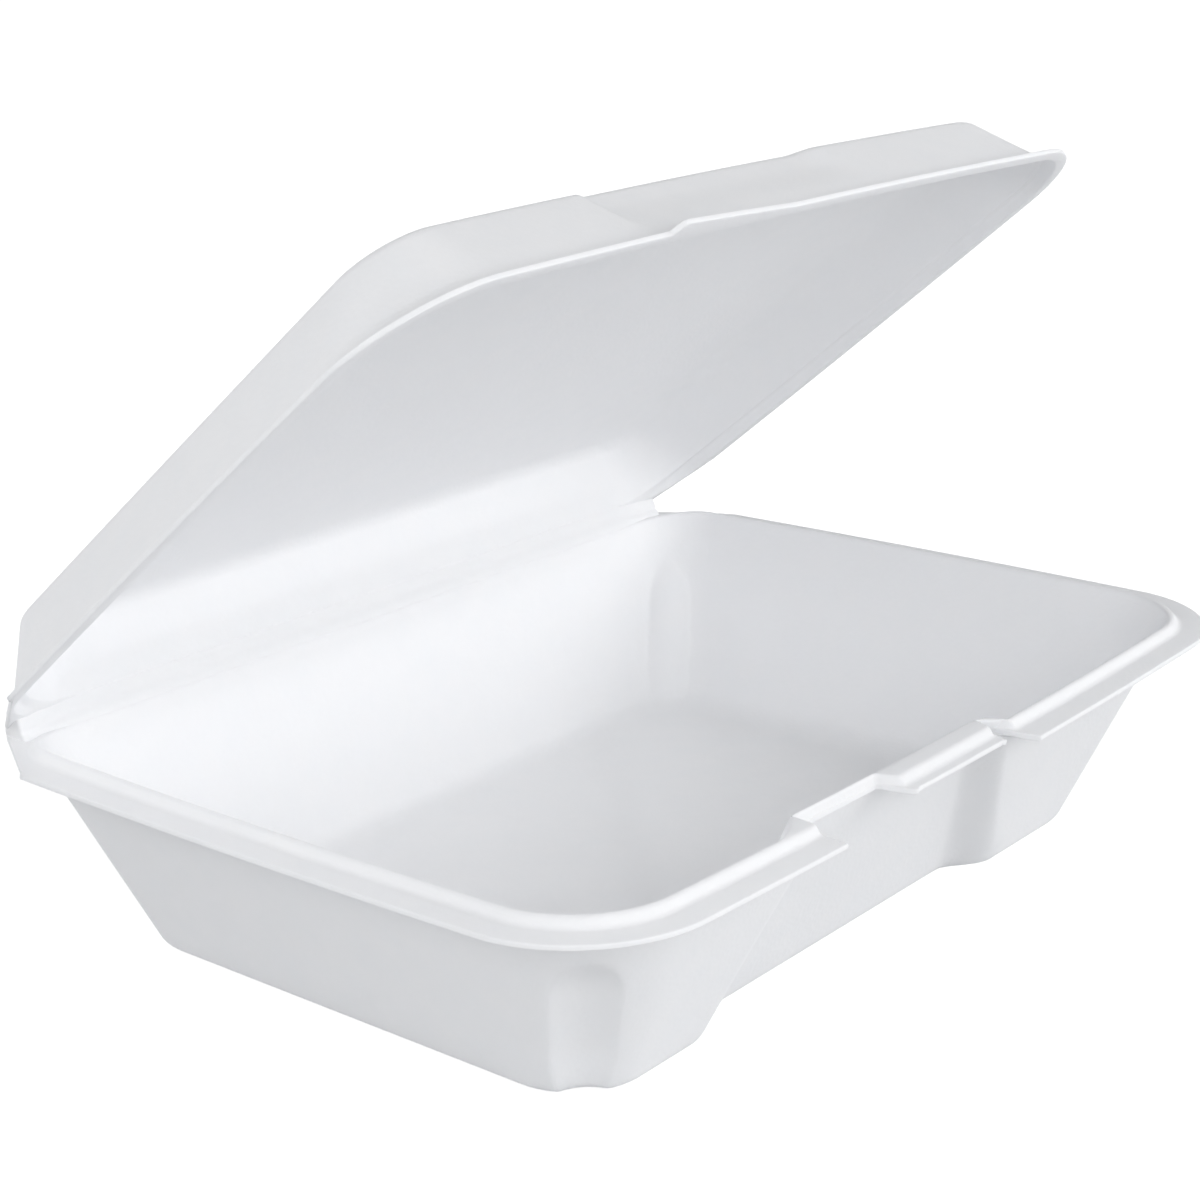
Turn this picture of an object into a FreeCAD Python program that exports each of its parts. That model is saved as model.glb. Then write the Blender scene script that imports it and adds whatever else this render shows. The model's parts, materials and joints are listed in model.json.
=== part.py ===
"""Foam clamshell container: a one-piece thermoformed tray and lid joined along a rear crease.

Millimetres, +Z up, +X along the crease, the front at -Y.
The origin is the centre of the tray's flat underside.
"""
import FreeCAD, Part
import math
import os
import Sketcher

V = FreeCAD.Vector
doc = FreeCAD.newDocument("foam_clamshell")
sheet = doc.addObject("Spreadsheet::Sheet", "sizes")

# Driving sizes in millimetres and degrees
SIZES = [
    # Whole container
    ("rim_width", 236.0, "flange width at its corners"),
    ("rim_depth", 172.5, "crease to the front edge of the flange, at its corners"),
    ("side_bow", 1.9, "how far the middle of each side edge swells outward"),
    ("front_bow", 3.3, "how far the middle of the front edge swells outward"),
    ("open_angle", 38.8, "angle of the lid above closed, as it stands open"),
    ("sheet_wall", 2.1, "foam thickness of walls, measured level"),
    ("sheet_floor", 2.2, "foam thickness of floor and lid top"),
    ("flange_sheet", 1.2, "foam thickness of the pressed flange"),
    # Tray
    ("tray_height", 46.0, "underside to the flange's lower face"),
    ("side_lean", 24.1, "how far each side wall leans in, flange edge to underside"),
    ("front_lean", 22.2, "how far the front wall leans in, flange edge to underside"),
    ("foot_to_crease", 19.2, "how far the rear wall leans in, crease to underside"),
    ("wall_round", 27.0, "rounding of the tray's corners, across the wall"),
    ("foot_bevel", 2.4, "width of the bevel between walls and underside"),
    ("cove_bevel", 5.4, "width of the bevel between the walls' inner faces and the floor"),
    ("cove_soften", 1.7, "width of the small bevels on both sides of it"),
    ("rim_corner", 25.0, "front corner radius of the flange"),
    ("edge_corner", 5.0, "rear corner radius of the flange's edge, before its taper"),
    ("rear_corner", 16.0, "rear corner radius at the foot of the raised bead"),
    ("flange_flat", 3.8, "flange edge to the foot of the raised bead"),
    ("rear_flat", 5.6, "crease to the foot of the raised bead"),
    ("bead_run", 1.2, "level width of the bead's sloping outer face"),
    ("bead_rise", 2.0, "height of the bead over the flange"),
    ("bead_top", 1.2, "width of the bead's top"),
    # Corner flutes
    ("flute_radius", 8.5, "radius of the hollow flute in each tray corner"),
    ("flute_depth", 2.9, "depth of the flute into the corner"),
    ("flute_top", 36.0, "height of the flute's arched top"),
    # Front recess of the tray
    ("recess_left", 50.0, "left end of the recess, from the middle"),
    ("recess_right_low", 44.0, "right end of the recess at the underside"),
    ("recess_right_high", 17.0, "right end of the recess at the flange"),
    ("recess_low", 6.0, "depth of the recess at the underside"),
    ("recess_high", 5.6, "depth of the recess at the flange"),
    ("recess_slope", 5.0, "level width of the recess's slanted ends"),
    ("recess_round", 4.5, "rounding of the recess's corners"),
    # Front latch of the tray
    ("tongue_left", 21.0, "left end of the latch tongue, from the middle"),
    ("tongue_right", 12.0, "right end of the latch tongue, from the middle"),
    ("tongue_setback", 5.0, "flange edge to the tongue's edge"),
    ("tongue_land", 2.2, "width of the tongue's pressed edge"),
    ("notch_left", 51.0, "left end of the left notch, from the middle"),
    ("notch_right", 16.5, "right end of the right notch, from the middle"),
    ("notch_round", 2.0, "rounding of the tongue's outer corners"),
    # Rear corners and crease
    ("crease_inset", 10.0, "side edge to the end of the crease"),
    ("crease_radius", 0.9, "radius of the crimped fold"),
    ("taper_depth", 24.0, "crease to the end of each tapered rear corner"),
    ("ear_radius", 7.0, "radius of the rounded ear on each rear corner"),
    ("ear_back", 19.0, "crease to the centre of the ear"),
    ("ear_reach", 1.6, "how far the ear stands out past the side edge"),
    # Lid
    ("lid_margin", 0.4, "how far the lid's edge lies inside the tray's"),
    ("lid_height", 20.0, "flange's lower face to the top of the closed lid"),
    ("lid_side_lean", 15.5, "how far each side wall leans in, flange edge to top"),
    ("lid_front_lean", 12.9, "how far the front wall leans in, flange edge to top"),
    ("lid_rear_lean", 10.6, "how far the rear wall leans in, crease to top"),
    ("lid_wall_round", 19.0, "rounding of the lid's corners, across the wall"),
    ("crown_bevel", 3.0, "width of the bevel between the lid's walls and top"),
    ("crown_soften", 0.9, "width of the small bevels on both sides of it"),
    ("ceiling_bevel", 2.2, "width of the bevel between the walls' inner faces and the lid's ceiling"),
    ("channel_wall", 1.5, "foam thickness round the lid's channel, measured level"),
    ("channel_roof", 1.1, "foam thickness over the lid's channel"),
    ("lid_step", 2.8, "height of the lid's channel"),
    ("lid_recess_left", 44.0, "left end of the lid's recess, from the middle"),
    ("lid_recess_right", 27.0, "right end of the lid's recess, from the middle"),
    ("lid_recess_depth", 3.2, "depth of the lid's recess at the top"),
    ("lip_left", 47.0, "left end of the latch lip, from the middle"),
    ("lip_right", 8.0, "right end of the latch lip, from the middle"),
    ("lip_reach", 3.6, "how far the lip's left end stands out"),
    # Clearances
    ("rest_gap", 0.3, "gap between the closed lid's flange and the tray's"),
    ("nest_gap", 0.3, "gap between the bead and the lid's channel"),
    ("fold_gap", 0.25, "gap between the crimped fold and the lid's rear edge"),
]


class Size:
    """A number together with the sheet formula it comes from."""

    def __init__(self, number, formula):
        self.number = float(number)
        self.formula = formula

    def __add__(self, other):
        other = size(other)
        return Size(self.number + other.number, f"({self.formula} + {other.formula})")

    def __sub__(self, other):
        other = size(other)
        return Size(self.number - other.number, f"({self.formula} - {other.formula})")

    def __mul__(self, other):
        other = size(other)
        return Size(self.number * other.number, f"({self.formula} * {other.formula})")

    def __truediv__(self, other):
        other = size(other)
        return Size(self.number / other.number, f"({self.formula} / {other.formula})")

    def __neg__(self):
        return Size(-self.number, f"(-1 * {self.formula})")


def size(value):
    """Wraps a plain number as a Size."""
    if isinstance(value, Size):
        return value
    return Size(value, repr(float(value)))


def root(value):
    """Square root of a Size."""
    return Size(math.sqrt(value.number), f"sqrt({value.formula})")


def steepness(slope):
    """Angle in degrees from upright, of a Size that holds a slope."""
    return Size(math.degrees(math.atan(slope.number)), f"atan({slope.formula})")


def fill_sheet():
    """Writes every driving size into the sheet and returns them by name."""
    named = {}
    for row, (alias, number, meaning) in enumerate(SIZES, start=1):
        sheet.set(f"A{row}", alias)
        sheet.set(f"B{row}", str(number))
        sheet.set(f"C{row}", meaning)
        sheet.setAlias(f"B{row}", alias)
        named[alias] = Size(number, f"sizes.{alias}")
    doc.recompute()
    return named


S = fill_sheet()


def bind(thing, path, value):
    """Ties one property of a document object to its sheet formula."""
    thing.setExpression(path, size(value).formula)


def origin_plane(body, role):
    """The body's own origin plane of that role."""
    for feature in body.Origin.OriginFeatures:
        if feature.Role == role:
            return feature
    raise ValueError(role)


def new_body(name):
    """An empty body."""
    body = doc.addObject("PartDesign::Body", name)
    body.Label = name
    return body


def new_sketch(body, name, level=0.0, role="XY_Plane"):
    """A sketch on one of the body's origin planes, raised to a level."""
    sketch = body.newObject("Sketcher::SketchObject", name)
    sketch.AttachmentSupport = (origin_plane(body, role), [""])
    sketch.MapMode = "FlatFace"
    bind(sketch, "AttachmentOffset.Base.z", level)
    return sketch


def limit(sketch, kind, *where, value):
    """Adds one dimension to a sketch and ties it to its formula."""
    index = sketch.addConstraint(Sketcher.Constraint(kind, *where, size(value).number))
    bind(sketch, f"Constraints[{index}]", value)


def meet(one, r_one, two, r_two, right_front=True):
    """Corner centre whose circle touches two large arcs from inside, on the right at the front."""
    span = math.dist(one, two)
    along = (r_one ** 2 - r_two ** 2 + span ** 2) / (2 * span)
    off = math.sqrt(r_one ** 2 - along ** 2)
    ux, uy = (two[0] - one[0]) / span, (two[1] - one[1]) / span
    mid = (one[0] + ux * along, one[1] + uy * along)
    pair = [(mid[0] - uy * off, mid[1] + ux * off), (mid[0] + uy * off, mid[1] - ux * off)]
    return max(pair, key=lambda p: p[0] - p[1])


def arc(centre, radius, start, end):
    """Arc from one angle to another, anticlockwise."""
    circle = Part.Circle(V(centre[0], centre[1], 0), V(0, 0, 1), radius)
    return Part.ArcOfCircle(circle, start, end)


def outline(body, name, level, inset, rear, crease, r_rear):
    """The container's outline moved inward: straight rear, swelling sides and front, four round corners.

    inset moves the sides, the front and the front corners inward, rear is the distance from
    the crease to the rear edge, crease is the place of the crease along Y, and r_rear is the
    radius of the rear corners. Outlines with different insets share their arcs' centres.
    """
    reach = edge_front / 2
    big_side = (reach * reach + S["side_bow"] * S["side_bow"]) / (S["side_bow"] * 2)
    big_front = (edge_half * edge_half + S["front_bow"] * S["front_bow"]) / (S["front_bow"] * 2)
    side_x = edge_half - big_side
    side_y = crease - reach
    front_y = crease - edge_front + big_front
    y_rear = crease - rear

    sc = (side_x.number, side_y.number)
    fc = (0.0, front_y.number)
    corner = S["rim_corner"].number
    fr = meet(sc, big_side.number - corner, fc, big_front.number - corner)
    big_side = big_side - inset
    big_front = big_front - inset
    r_front = S["rim_corner"] - inset
    ry = y_rear.number - r_rear.number
    rx = sc[0] + math.sqrt((big_side.number - r_rear.number) ** 2 - (ry - sc[1]) ** 2)
    low = math.atan2(fr[1] - sc[1], fr[0] - sc[0])
    high = math.atan2(ry - sc[1], rx - sc[0])
    turn = math.atan2(fr[1] - fc[1], fr[0] - fc[0])
    pi = math.pi

    sketch = new_sketch(body, name, level)
    sketch.addGeometry([
        arc(sc, big_side.number, low, high),
        arc((rx, ry), r_rear.number, high, pi / 2),
        Part.LineSegment(V(rx, y_rear.number, 0), V(-rx, y_rear.number, 0)),
        arc((-rx, ry), r_rear.number, pi / 2, pi - high),
        arc((-sc[0], sc[1]), big_side.number, pi - high, pi - low),
        arc((-fr[0], fr[1]), r_front.number, pi - low, pi - turn),
        arc(fc, big_front.number, -pi - turn, turn),
        arc(fr, r_front.number, turn, low),
    ], False)
    for i in range(8):
        sketch.addConstraint(Sketcher.Constraint("Tangent", i, 2, (i + 1) % 8, 1))
    sketch.addConstraint(Sketcher.Constraint("Horizontal", 2))
    sketch.addConstraint(Sketcher.Constraint("PointOnObject", 6, 3, -2))
    limit(sketch, "DistanceY", -1, 1, 2, 1, value=y_rear)
    limit(sketch, "DistanceY", -1, 1, 6, 3, value=front_y)
    limit(sketch, "Radius", 6, value=big_front)
    for index, x in ((0, side_x), (4, -side_x)):
        limit(sketch, "DistanceX", -1, 1, index, 3, value=x)
        limit(sketch, "DistanceY", -1, 1, index, 3, value=side_y)
        limit(sketch, "Radius", index, value=big_side)
    for index, radius in ((1, r_rear), (3, r_rear), (5, r_front), (7, r_front)):
        limit(sketch, "Radius", index, value=radius)
    return sketch


def polygon(body, name, level, corners, role="XY_Plane"):
    """Closed polygon whose corners are each placed by two sizes."""
    corners = [(size(x), size(y)) for x, y in corners]
    sketch = new_sketch(body, name, level, role)
    count = len(corners)
    points = [V(x.number, y.number, 0) for x, y in corners]
    sketch.addGeometry([Part.LineSegment(points[i], points[(i + 1) % count]) for i in range(count)], False)
    for i in range(count):
        sketch.addConstraint(Sketcher.Constraint("Coincident", i, 2, (i + 1) % count, 1))
    for i, (x, y) in enumerate(corners):
        limit(sketch, "DistanceX", -1, 1, i, 1, value=x)
        limit(sketch, "DistanceY", -1, 1, i, 1, value=y)
    return sketch


def loft(body, name, sections, kind="Additive"):
    """Straight-sided loft through sketches."""
    feature = body.newObject(f"PartDesign::{kind}Loft", name)
    feature.Profile = sections[0]
    feature.Sections = sections[1:]
    feature.Ruled = True
    feature.Refine = False
    return feature


def leaning_block(body, name, low, high, base, top):
    """Block between two levels with four leaning walls.

    base and top each give the half width, the rear's place along Y and the front's distance from Y 0.
    """
    block = body.newObject("PartDesign::AdditiveWedge", name)
    block.AttachmentSupport = (origin_plane(body, "XY_Plane"), [""])
    block.MapMode = "FlatFace"
    block.AttachmentOffset = FreeCAD.Placement(V(0, 0, 0), FreeCAD.Rotation(V(1, 0, 0), 90))
    faces = {
        "Ymin": low, "Ymax": high,
        "Xmin": -base[0], "Xmax": base[0], "Zmin": -base[1], "Zmax": base[2],
        "X2min": -top[0], "X2max": top[0], "Z2min": -top[1], "Z2max": top[2],
    }
    for face, value in faces.items():
        setattr(block, face, size(value).number)
    for face, value in faces.items():
        bind(block, face, value)
    return block


def pad(body, name, sketch, length, midplane=False):
    """Pads a sketch upward, or to both sides."""
    feature = body.newObject("PartDesign::Pad", name)
    feature.Refine = False
    feature.Profile = sketch
    if midplane:
        feature.SideType = "Symmetric"
    bind(feature, "Length", length)
    return feature


def pocket(body, name, sketch, length):
    """Cuts a sketch upward by a length."""
    feature = body.newObject("PartDesign::Pocket", name)
    feature.Refine = False
    feature.Profile = sketch
    feature.Reversed = True
    bind(feature, "Length", length)
    return feature


def edges_where(feature, test):
    """Names of a feature's edges whose middle and ends pass a test."""
    doc.recompute()
    names = []
    for i, edge in enumerate(feature.Shape.Edges, start=1):
        if edge.Degenerated:
            continue
        first, last = edge.ParameterRange
        spots = [edge.valueAt(first), edge.valueAt((first + last) / 2), edge.valueAt(last)]
        if test(spots):
            names.append(f"Edge{i}")
    return names


def fillet(body, name, base, edges, radius):
    """Rounds the named edges of a feature."""
    feature = body.newObject("PartDesign::Fillet", name)
    feature.Refine = False
    feature.Base = (base, edges)
    bind(feature, "Radius", radius)
    doc.recompute()
    return feature


def bevel(body, name, base, edges, width):
    """Cuts the named edges of a feature to a flat bevel."""
    feature = body.newObject("PartDesign::Chamfer", name)
    feature.Refine = False
    feature.Base = (base, edges)
    bind(feature, "Size", width)
    doc.recompute()
    return feature


def level_edges(z):
    """Test for edges that lie at one height."""
    return lambda spots: all(abs(p.z - z) < 0.01 for p in spots)


def rising_edges(width):
    """Test for edges that rise by more than half the wall's height, within a half width."""
    def test(spots):
        rises = abs(spots[0].z - spots[-1].z) > RISE
        return rises and all(abs(p.x) < width.number for p in spots)
    return test


def soft_bevel(body, name, base, z, width, soften):
    """Three narrow bevels in place of a sharp edge round a level face at height z."""
    first = bevel(body, name, base, edges_where(base, level_edges(z)), width)

    def beside(spots):
        heights = [p.z for p in spots]
        near = max(abs(h - z) for h in heights) < width.number * 1.2
        return near and max(heights) - min(heights) < width.number * 0.5
    return bevel(body, f"{name}_soft", first, edges_where(first, beside), soften)


# Levels and distances from the crease, shared by tray and lid
flange_level = S["tray_height"]
flange_top = flange_level + S["flange_sheet"]
bead_level = flange_top + S["bead_rise"]
foot_half = S["rim_width"] / 2 - S["side_lean"]
foot_depth = S["rim_depth"] - S["foot_to_crease"] - S["front_lean"]
crease_y = foot_depth / 2 + S["foot_to_crease"]
crease_z = flange_top + S["rest_gap"] / 2
crease_half = S["rim_width"] / 2 - S["crease_inset"]
edge_half = S["rim_width"] / 2 + S["side_bow"]
edge_front = S["rim_depth"] + S["front_bow"]
bead_inset = S["flange_flat"] + S["bead_run"]
wall_inset = bead_inset + S["bead_top"]
rear_bead = S["rear_flat"] + S["bead_run"]
rear_wall = rear_bead + S["bead_top"]
# The flat walls meet the swelling rim at this share of its swell
swell = size(0.6)
wall_half = S["rim_width"] / 2 + S["side_bow"] * swell
wall_front = S["rim_depth"] + S["front_bow"] * swell
ABOVE = size(1.0)
FAR = 10.0
RISE = 6.0


def between(low, high, share):
    """The value at a share of the way from one to another."""
    return low + (high - low) * share


def tray_walls(level, inset):
    """Half width, rear place and front distance of the tray's outer walls at a level, moved inward."""
    share = size(level) / bead_level
    half = between(foot_half, wall_half - wall_inset + S["sheet_wall"], share)
    rear = between(foot_depth / 2, crease_y - rear_wall + S["sheet_wall"], share)
    front = between(foot_depth / 2, wall_front - wall_inset + S["sheet_wall"] - crease_y, share)
    return half - inset, rear - inset, front - inset


def recess_cut(body, name, levels, lefts, rights, walls, slope):
    """Cuts a recess into the front, from a lower level to a higher one."""
    clear = S["rim_depth"]
    sections = []
    for label, level, left, right, wall in zip(("low", "high"), levels, lefts, rights, walls):
        run = (clear - wall) * slope
        sections.append(polygon(body, f"{name}_{label}", level, [
            (-left - run, -clear), (right + run, -clear), (right, -wall), (-left, -wall)]))
    return loft(body, name, sections, "Subtractive")


def recess_wall(level, grow):
    """Distance of the recessed wall from the tray's middle, at a level."""
    depth = between(S["recess_low"], S["recess_high"], size(level) / flange_level)
    return tray_walls(level, grow)[2] - depth


def tray_recess(body, name, low, high, grow):
    """Cuts the recess between the two front feet, grown by a wall."""
    rights = [
        between(S["recess_right_low"], S["recess_right_high"], size(z) / flange_level)
        for z in (low, high)]
    lefts = (S["recess_left"] + grow, S["recess_left"] + grow)
    walls = [recess_wall(z, grow) for z in (low, high)]
    slope = S["recess_slope"] / S["recess_low"]
    return recess_cut(body, name, (low, high), lefts, [right + grow for right in rights], walls, slope)


def corner_slopes(front):
    """Outward run for each millimetre of rise, along X and along Y, at a front or rear corner."""
    foot = tray_walls(0.0, size(0.0))
    rim = tray_walls(bead_level, size(0.0))
    index = 2 if front else 1
    return (rim[0] - foot[0]) / bead_level, (rim[index] - foot[index]) / bead_level


def flute_place(front, level):
    """Place of a right-hand flute's axis at a level. It runs beside the axis of the rounded corner."""
    run_x, run_y = corner_slopes(front)
    walls = tray_walls(level, size(0.0))
    lean = root(run_x * run_x + run_y * run_y)
    out = (S["wall_round"] + S["flute_radius"] - S["flute_depth"]) * root(lean * lean + 1) / lean
    x = walls[0] - S["wall_round"] * root(run_x * run_x + 1) + out * run_x
    y = walls[2 if front else 1] - S["wall_round"] * root(run_y * run_y + 1) + out * run_y
    return x, (-y if front else y)


def circle(body, name, level, place, radius):
    """A circle at a place."""
    sketch = new_sketch(body, name, level)
    middle = V(place[0].number, place[1].number, 0)
    sketch.addGeometry(Part.Circle(middle, V(0, 0, 1), size(radius).number), False)
    limit(sketch, "DistanceX", -1, 1, 0, 3, value=place[0])
    limit(sketch, "DistanceY", -1, 1, 0, 3, value=place[1])
    limit(sketch, "Radius", 0, value=radius)
    return sketch


def place_leaning(thing, body, place, level, slopes):
    """Stands a round tool on a place at a level, leaning along two outward slopes."""
    run_x, run_y = slopes
    thing.AttachmentSupport = (origin_plane(body, "XY_Plane"), [""])
    thing.MapMode = "FlatFace"
    bind(thing, "AttachmentOffset.Base.x", place[0])
    bind(thing, "AttachmentOffset.Base.y", place[1])
    bind(thing, "AttachmentOffset.Base.z", level)
    bind(thing, "AttachmentOffset.Rotation.Axis.x", -run_y)
    bind(thing, "AttachmentOffset.Rotation.Axis.y", run_x)
    bind(thing, "AttachmentOffset.Rotation.Axis.z", 0.0)
    bind(thing, "AttachmentOffset.Rotation.Angle", steepness(root(run_x * run_x + run_y * run_y)))


def flute_cuts(body, grow):
    """Cuts the four corner flutes, grown by a wall, each with an arched top."""
    radius = S["flute_radius"] + grow
    top = S["flute_top"] - S["flute_radius"]
    start = size(-FAR)
    for end, along in (("front", -1), ("rear", 1)):
        run_x, run_y = corner_slopes(end == "front")
        for side, across in (("right", 1), ("left", -1)):
            slopes = (run_x * across, run_y * along)
            flute = body.newObject("PartDesign::SubtractiveCylinder", f"{end}_{side}_flute")
            flute.Refine = False
            x, y = flute_place(end == "front", start)
            place_leaning(flute, body, (x * across, y), start, slopes)
            bind(flute, "Radius", radius)
            bind(flute, "Height", (top - start) * root(run_x * run_x + run_y * run_y + 1))
            arch = body.newObject("PartDesign::SubtractiveSphere", f"{end}_{side}_flute_arch")
            arch.Refine = False
            x, y = flute_place(end == "front", top)
            place_leaning(arch, body, (x * across, y), top, slopes)
            bind(arch, "Radius", radius)
    doc.recompute()


def rear_corners(body, level, crease):
    """Tapers the flange's rear corners toward the crease and adds a rounded ear to each."""
    half = crease_half
    for side, name in ((1, "right"), (-1, "left")):
        cut = polygon(body, f"{name}_taper_line", level - ABOVE, [
            (half * side, crease + FAR), (half * side, crease),
            (edge_half * side, crease - S["taper_depth"]), ((edge_half + FAR) * side, crease - S["taper_depth"]),
            ((edge_half + FAR) * side, crease + FAR)])
        pocket(body, f"{name}_taper", cut, S["flange_sheet"] + ABOVE * 2)
        x = (S["rim_width"] / 2 + S["ear_reach"] - S["ear_radius"]) * side
        ear = circle(body, f"{name}_ear_circle", level, (x, crease - S["ear_back"]), S["ear_radius"])
        pad(body, f"{name}_ear", ear, S["flange_sheet"])


def tray_latch(body):
    """Cuts the two notches beside the latch tongue, and steps the tongue back."""
    edge = edge_front - crease_y
    far = edge + FAR
    height = ABOVE + S["flange_sheet"] + S["bead_rise"] + ABOVE
    under = flange_level - ABOVE
    notch_wall = recess_wall(bead_level, size(0.0))
    tongue_edge = edge - S["tongue_setback"]
    land_edge = tongue_edge - S["tongue_land"]
    over_flange = S["bead_rise"] + ABOVE
    cuts = (
        ("left_notch", -S["notch_left"], -S["tongue_left"], notch_wall, under, height),
        ("right_notch", S["tongue_right"], S["notch_right"], notch_wall, under, height),
        ("tongue_edge", -S["tongue_left"], S["tongue_right"], tongue_edge, under, height),
        ("tongue_land", -S["tongue_left"], S["tongue_right"], land_edge, flange_top, over_flange),
    )
    for name, left, right, wall, level, rise in cuts:
        corners = [(left, -far), (right, -far), (right, -wall), (left, -wall)]
        line = polygon(body, f"{name}_line", level, corners)
        cut = pocket(body, name, line, rise)
    doc.recompute()

    def tongue_corner(spots):
        at_edge = all(abs(p.y + tongue_edge.number) < 0.01 for p in spots)
        return at_edge and abs(spots[0].x - spots[-1].x) < 0.01
    fillet(body, "tongue_rounding", cut, edges_where(cut, tongue_corner), S["notch_round"])


def tray_form():
    """The tray's outer form as a solid block with its rim, latch, rear corners and crease."""
    body = new_body("tray_form")
    none = size(0.0)
    block = leaning_block(body, "wall_block", none, flange_level,
                          tray_walls(0.0, none), tray_walls(flange_level, none))
    corners = edges_where(block, rising_edges(edge_half))
    fillet(body, "corner_rounding", block, corners, S["wall_round"])
    cut = tray_recess(body, "front_recess", -ABOVE, flange_level + ABOVE, none)
    steps = edges_where(cut, rising_edges(S["notch_left"] + FAR))
    soft = fillet(body, "recess_rounding", cut, steps, S["recess_round"])
    bevel(body, "underside_bevel", soft, edges_where(soft, level_edges(0.0)), S["foot_bevel"])
    flute_cuts(body, none)

    edge = outline(body, "flange_edge", flange_level, none, none, crease_y, S["edge_corner"])
    pad(body, "flange", edge, S["flange_sheet"])
    rear_corners(body, flange_level, crease_y)
    loft(body, "bead", [
        outline(body, "bead_foot", flange_top, S["flange_flat"], S["rear_flat"],
                crease_y, S["rear_corner"]),
        outline(body, "bead_crown", bead_level, bead_inset, rear_bead,
                crease_y, S["rear_corner"] - S["bead_run"])])
    tray_latch(body)
    fold = new_sketch(body, "fold_circle", 0.0, "YZ_Plane")
    middle = V(crease_y.number, crease_z.number, 0)
    fold.addGeometry(Part.Circle(middle, V(0, 0, 1), S["crease_radius"].number), False)
    limit(fold, "DistanceX", -1, 1, 0, 3, value=crease_y)
    limit(fold, "DistanceY", -1, 1, 0, 3, value=crease_z)
    limit(fold, "Radius", 0, value=S["crease_radius"])
    pad(body, "fold", fold, crease_half * 2, midplane=True)
    return body


def tray_cavity():
    """The tray's hollow, with the inside of the recess and the ribs of the flutes left out of it."""
    body = new_body("tray_cavity")
    wall = S["sheet_wall"]
    floor = S["sheet_floor"]
    block = leaning_block(body, "hollow_block", floor, bead_level,
                          tray_walls(floor, wall), tray_walls(bead_level, wall))
    corners = edges_where(block, rising_edges(edge_half))
    round_block = fillet(body, "inner_corner_rounding", block, corners, S["wall_round"] - wall)
    soft_bevel(body, "floor_cove", round_block, floor.number, S["cove_bevel"], S["cove_soften"])
    cut = tray_recess(body, "recess_inside", floor - ABOVE, bead_level + ABOVE, wall)
    steps = edges_where(cut, rising_edges(S["notch_left"] + FAR))
    fillet(body, "recess_inside_rounding", cut, steps, S["recess_round"])
    flute_cuts(body, wall)
    return body


def difference(label, base, tool):
    """One solid less another."""
    cut = doc.addObject("Part::Cut", label)
    cut.Label = label
    cut.Base = base
    cut.Tool = tool
    return cut


# Lid: modelled closed, with the crease at its own origin
lid_level = S["rest_gap"] / 2
lid_top = lid_level + S["lid_height"]
step_level = lid_level + S["lid_step"]
bead_slope = S["bead_run"] / S["bead_rise"]
channel_low = S["flange_flat"] - S["nest_gap"]
rear_channel_low = S["rear_flat"] - S["nest_gap"]
LID_CREASE = size(0.0)


def channel_outline(body, name, level, rise, thickness):
    """Outline of the lid's wall beside its channel, at a rise above the flange's lower face."""
    inset = channel_low + bead_slope * rise - thickness
    rear = rear_channel_low + bead_slope * rise - thickness
    return outline(body, name, level, inset, rear, LID_CREASE, S["rear_corner"] + thickness)


def lid_walls(level, inset):
    """Half width, rear place and front distance of the closed lid's outer walls, moved inward."""
    share = (size(level) - step_level) / (lid_top - step_level)
    step = channel_low + bead_slope * S["lid_step"] - S["channel_wall"]
    rear_step = rear_channel_low + bead_slope * S["lid_step"] - S["channel_wall"]
    half = between(wall_half - step, S["rim_width"] / 2 - S["lid_side_lean"], share)
    rear = between(rear_step, S["lid_rear_lean"], share)
    front = between(wall_front - step, S["rim_depth"] - S["lid_front_lean"], share)
    return half - inset, -rear - inset, front - inset


def lid_recess(body, name, high, grow):
    """Cuts the recess in the lid's front wall, from nothing at the channel to its depth at the top."""
    low = step_level + S["channel_roof"]
    wall_low = lid_walls(low, -ABOVE)[2] - grow
    wall_high = lid_walls(lid_top, size(0.0))[2] - S["lid_recess_depth"]
    wall_high = between(wall_low, wall_high - grow, (high - low) / (lid_top - low))
    lefts = (S["lid_recess_left"] + grow, S["lid_recess_left"] + grow)
    rights = (S["lid_recess_right"] + grow, S["lid_recess_right"] + grow)
    return recess_cut(body, name, (low, high), lefts, rights, (wall_low, wall_high), size(1.0))


def lid_form():
    """The closed lid's outer form as a solid block with its flange and latch lip."""
    body = new_body("lid_form")
    none = size(0.0)
    low = lid_level + S["flange_sheet"]
    block = leaning_block(body, "lid_block", low, lid_top, lid_walls(low, none), lid_walls(lid_top, none))
    corners = edges_where(block, rising_edges(edge_half))
    round_block = fillet(body, "lid_corner_rounding", block, corners, S["lid_wall_round"])
    soft_bevel(body, "crown_bevel", round_block, lid_top.number, S["crown_bevel"], S["crown_soften"])
    lid_recess(body, "lid_recess", lid_top, none)

    roof = step_level + S["channel_roof"]
    rise = S["lid_step"] + S["channel_roof"]
    loft(body, "channel_block", [
        channel_outline(body, "channel_foot", lid_level, none, S["channel_wall"]),
        channel_outline(body, "channel_head", roof, rise, S["channel_wall"])])
    flange_line = outline(body, "lid_edge", lid_level, S["lid_margin"], S["crease_radius"] + S["fold_gap"],
                          LID_CREASE, S["edge_corner"])
    pad(body, "lid_flange", flange_line, S["flange_sheet"])
    rear_corners(body, lid_level, LID_CREASE)
    edge = edge_front - S["lid_margin"]
    lip = polygon(body, "lip_line", lid_level, [
        (-S["lip_left"], -edge - S["lip_reach"]), (-S["lip_right"], -edge),
        (-S["lip_right"], -edge + S["flange_flat"]), (-S["lip_left"], -edge + S["flange_flat"])])
    pad(body, "lip", lip, S["flange_sheet"])
    return body


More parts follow.
